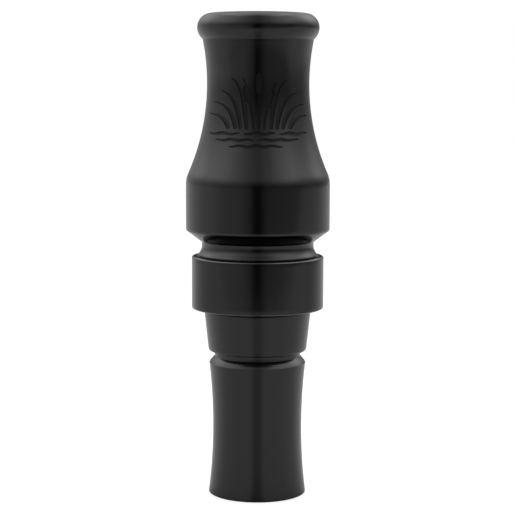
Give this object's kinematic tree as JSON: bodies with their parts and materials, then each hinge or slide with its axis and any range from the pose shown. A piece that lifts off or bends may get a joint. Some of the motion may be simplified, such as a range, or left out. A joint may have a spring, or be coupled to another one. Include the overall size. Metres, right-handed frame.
{
  "type": "duck call",
  "caption": "Turned duck call: barrel with a flared mouth and metal band, plugged onto an insert that holds a tone board, reeds and wedge, sealed by O-rings.",
  "frame": {"origin": "centre of the flat exhaust end, on the call's axis", "axes": "+Z along the call's axis, from the exhaust end towards the mouth; the reeds face -Y"},
  "size_m": [0.0382, 0.0382, 0.1274],
  "materials": {
    "turned_plastic": "satin black, turned and lightly polished",
    "band_metal": "black anodised, smooth",
    "seal_rubber": "moulded",
    "board_plastic": "moulded, smooth",
    "reed_film": "milky polyester film",
    "cork": "cut cork"
  },
  "bodies": {
    "insert": {"insert_stem": "turned_plastic"},
    "seals": {"tenon_o_ring_front": "seal_rubber", "tenon_o_ring_rear": "seal_rubber"},
    "barrel": {"barrel": "turned_plastic", "barrel_band": "band_metal"},
    "guts": {"tone_board": "board_plastic", "wedge": "cork"},
    "lower_reed": {"reed_lower": "reed_film"},
    "upper_reed": {"reed_upper": "reed_film"}
  },
  "joints": [
    {"name": "barrel_twist", "type": "hinge", "parent": "insert", "child": "seals", "pos_m": [0, 0, 0.0615], "axis": [0, 0, 1], "continuous": true},
    {"name": "barrel_pull", "type": "slide", "parent": "seals", "child": "barrel", "axis": [0, 0, 1], "range_m": [0, 0.07]},
    {"name": "guts_pull", "type": "slide", "parent": "insert", "child": "guts", "axis": [0, 0, 1], "range_m": [0, 0.024]},
    {"name": "reed_flex", "type": "hinge", "parent": "guts", "child": "lower_reed", "pos_m": [0, -0.00103, 0.0655], "axis": [1, 0, 0], "range_deg": [-1.8, 1.8], "stiffness_Nm_per_rad": 0.01},
    {"name": "upper_reed_flex", "type": "hinge", "parent": "guts", "child": "upper_reed", "pos_m": [0, -0.00158, 0.0655], "axis": [1, 0, 0], "range_deg": [-1.8, 1.8], "stiffness_Nm_per_rad": 0.01}
  ],
  "couplings": [
    {"joint": "upper_reed_flex", "follows": "reed_flex", "ratio": 1}
  ]
}
